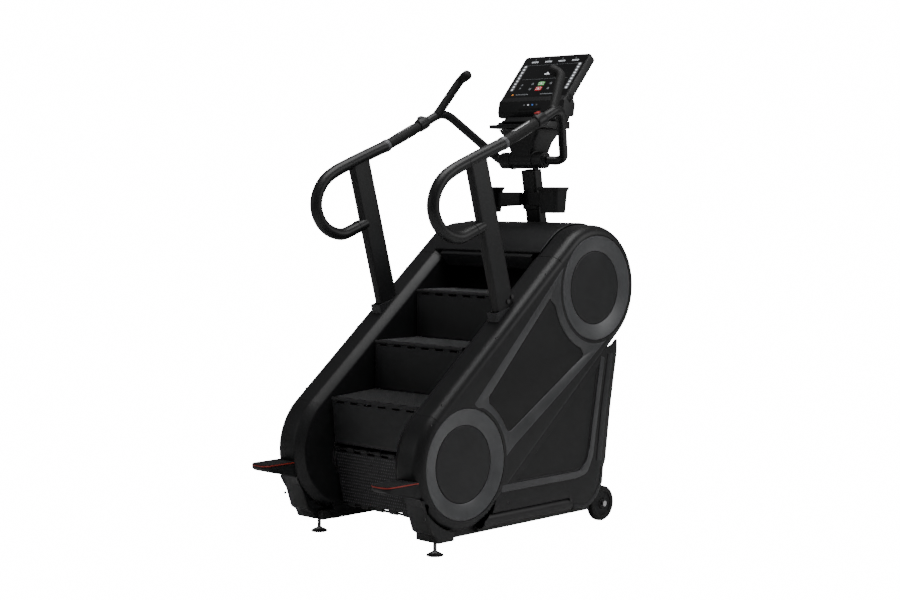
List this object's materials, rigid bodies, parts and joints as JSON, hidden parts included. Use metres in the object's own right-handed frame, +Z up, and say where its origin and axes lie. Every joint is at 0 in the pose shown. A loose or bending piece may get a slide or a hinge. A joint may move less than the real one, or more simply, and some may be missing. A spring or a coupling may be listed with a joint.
{
  "type": "stair climber",
  "caption": "Revolving-staircase gym machine with side housings, looped handrails, forward handles and a tilted console on a mast.",
  "frame": {"origin": "on the floor, under the middle of the overall box", "axes": "+X to the user's right, +Y from the user towards the console, +Z up"},
  "size_m": [0.832, 1.468, 1.996],
  "materials": {
    "frame_black": "black powder coat",
    "housing_black": "fine-grained moulded plastic",
    "panel_grey": "satin dark grey plastic",
    "peg_black": "textured",
    "trim_red": "satin",
    "rail_black": "black powder coat",
    "tyre": "moulded wheel",
    "steel": "zinc plated",
    "rubber_black": "matt",
    "collar_grey": "satin",
    "grip_black": "fine texture",
    "contact_steel": "brushed",
    "key_grey": "satin",
    "key_red": "satin",
    "screen_glass": "black glass",
    "key_green": "satin",
    "bearing_steel": "ground",
    "chain_steel": "oiled",
    "guide_white": "plain",
    "tread_black": "black anodised, ribbed and dotted",
    "riser_black": "satin",
    "belt_black": "ribbed"
  },
  "bodies": {
    "frame": {"base_frame": "frame_black", "shroud_left": "housing_black", "shroud_right": "housing_black", "lower_disc_covers": "panel_grey", "upper_disc_covers": "panel_grey", "inlay_panels": "panel_grey", "side_cover_left": "housing_black", "side_cover_right": "housing_black", "rear_cover": "housing_black", "hood": "housing_black", "leg_covers": "housing_black", "step_peg_left": "peg_black", "step_peg_right": "peg_black", "peg_pads": "trim_red", "side_tubes": "rail_black", "wheel_bolts": "steel", "handrail_left": "rail_black", "handrail_right": "rail_black", "post_boots": "rubber_black", "post_bolts": "steel", "rail_collars": "collar_grey", "hand_grips": "grip_black", "pulse_contacts": "contact_steel", "control_pods": "housing_black", "fork_handle_left": "rail_black", "fork_handle_right": "rail_black", "barrel_clamp": "housing_black", "mast": "rail_black", "mast_collar": "housing_black", "console_neck": "housing_black", "console_tray": "housing_black", "console_shell": "housing_black", "console_glass": "screen_glass", "bottle_holders": "housing_black", "shaft_bearings": "bearing_steel", "chain_loops": "chain_steel", "chain_guides": "guide_white", "drive_belt": "belt_black"},
    "wheel_left": {"wheel_left": "tyre"},
    "wheel_right": {"wheel_right": "tyre"},
    "foot_left": {"levelling_foot_left": "steel"},
    "foot_right": {"levelling_foot_right": "steel"},
    "pod_key_left": {"pod_key_left": "key_grey"},
    "pod_key_right": {"pod_key_right": "key_red"},
    "start_key": {"start_key": "key_green"},
    "stop_key": {"stop_key": "key_red"},
    "drive": {"drive_shaft": "chain_steel", "tread_4": "tread_black"},
    "idler": {"idler_shaft": "chain_steel", "tread_0": "tread_black"},
    "upper_steps": {"treads_up": "tread_black", "risers_up": "riser_black"},
    "lower_steps": {"steps_down": "tread_black"},
    "riser_0": {"riser_0": "riser_black"},
    "tread_1": {"tread_1": "tread_black"},
    "riser_1": {"riser_1": "riser_black"},
    "riser_4": {"riser_4": "riser_black"},
    "tread_5": {"tread_5": "tread_black"},
    "riser_5": {"riser_5": "riser_black"},
    "brake": {"brake_rotor": "chain_steel"}
  },
  "joints": [
    {"name": "drive_shaft_turn", "type": "hinge", "parent": "frame", "child": "drive", "pos_m": [0, 0.40709, 0.89285], "axis": [1, 0, 0], "range_deg": [-3.82, 28.65]},
    {"name": "idler_shaft_turn", "type": "hinge", "parent": "frame", "child": "idler", "pos_m": [0, -0.2782, 0.32721], "axis": [1, 0, 0], "range_deg": [-4.12, 28.95]},
    {"name": "upper_steps_travel", "type": "slide", "parent": "frame", "child": "upper_steps", "axis": [0, -0.7712, -0.6366], "range_m": [-0.0085, 0.0605]},
    {"name": "lower_steps_travel", "type": "slide", "parent": "frame", "child": "lower_steps", "axis": [0, 0.7712, 0.6366], "range_m": [-0.0085, 0.0605]},
    {"name": "tread_1_tilt", "type": "hinge", "parent": "upper_steps", "child": "tread_1", "pos_m": [0, -0.16949, 0.57253], "axis": [1, 0, 0], "range_deg": [-1.18, 6.91]},
    {"name": "riser_1_tilt", "type": "hinge", "parent": "tread_1", "child": "riser_1", "pos_m": [0, -0.41169, 0.5586], "axis": [1, 0, 0], "range_deg": [-0.95, 5.17]},
    {"name": "riser_4_tilt", "type": "hinge", "parent": "upper_steps", "child": "riser_4", "pos_m": [0, 0.31853, 0.97534], "axis": [1, 0, 0], "range_deg": [-3.35, 23.2]},
    {"name": "riser_0_tilt", "type": "hinge", "parent": "lower_steps", "child": "riser_0", "pos_m": [0, -0.18963, 0.24472], "axis": [1, 0, 0], "range_deg": [-3.35, 23.2]},
    {"name": "tread_5_tilt", "type": "hinge", "parent": "lower_steps", "child": "tread_5", "pos_m": [0, 0.29839, 0.64753], "axis": [1, 0, 0], "range_deg": [-1.18, 6.91]},
    {"name": "riser_5_tilt", "type": "hinge", "parent": "tread_5", "child": "riser_5", "pos_m": [0, 0.54059, 0.66146], "axis": [1, 0, 0], "range_deg": [-0.95, 5.17]},
    {"name": "brake_turn", "type": "hinge", "parent": "frame", "child": "brake", "pos_m": [0, 0.385, 0.33], "axis": [1, 0, 0], "range_deg": [-17.67, 126.01]},
    {"name": "wheel_left_spin", "type": "hinge", "parent": "frame", "child": "wheel_left", "pos_m": [-0.35, 0.573, 0.075], "axis": [1, 0, 0], "continuous": true},
    {"name": "wheel_right_spin", "type": "hinge", "parent": "frame", "child": "wheel_right", "pos_m": [0.35, 0.573, 0.075], "axis": [1, 0, 0], "continuous": true},
    {"name": "foot_left_screw", "type": "slide", "parent": "frame", "child": "foot_left", "axis": [0, 0, -1], "range_m": [0, 0.015]},
    {"name": "foot_right_screw", "type": "slide", "parent": "frame", "child": "foot_right", "axis": [0, 0, -1], "range_m": [0, 0.015]},
    {"name": "start_key_press", "type": "slide", "parent": "frame", "child": "start_key", "axis": [0, 0.7564, -0.6541], "range_m": [0, 0.002], "stiffness_N_per_m": 500},
    {"name": "stop_key_press", "type": "slide", "parent": "frame", "child": "stop_key", "axis": [0, 0.7564, -0.6541], "range_m": [0, 0.002], "stiffness_N_per_m": 500},
    {"name": "pod_key_left_press", "type": "slide", "parent": "frame", "child": "pod_key_left", "axis": [0, 0.4051, -0.9143], "range_m": [0, 0.002], "stiffness_N_per_m": 500},
    {"name": "pod_key_right_press", "type": "slide", "parent": "frame", "child": "pod_key_right", "axis": [0, 0.4051, -0.9143], "range_m": [0, 0.002], "stiffness_N_per_m": 500}
  ],
  "couplings": [
    {"joint": "idler_shaft_turn", "follows": "drive_shaft_turn", "ratio": 1},
    {"joint": "upper_steps_travel", "follows": "drive_shaft_turn", "m_per_rad": 0.12},
    {"joint": "lower_steps_travel", "follows": "drive_shaft_turn", "m_per_rad": 0.12},
    {"joint": "tread_1_tilt", "follows": "drive_shaft_turn", "ratio": 0.23075},
    {"joint": "riser_1_tilt", "follows": "drive_shaft_turn", "ratio": 0.16992},
    {"joint": "riser_4_tilt", "follows": "drive_shaft_turn", "ratio": 0.79929},
    {"joint": "riser_0_tilt", "follows": "drive_shaft_turn", "ratio": 0.79929},
    {"joint": "tread_5_tilt", "follows": "drive_shaft_turn", "ratio": 0.23075},
    {"joint": "riser_5_tilt", "follows": "drive_shaft_turn", "ratio": 0.16992},
    {"joint": "brake_turn", "follows": "drive_shaft_turn", "ratio": 4.3636}
  ]
}
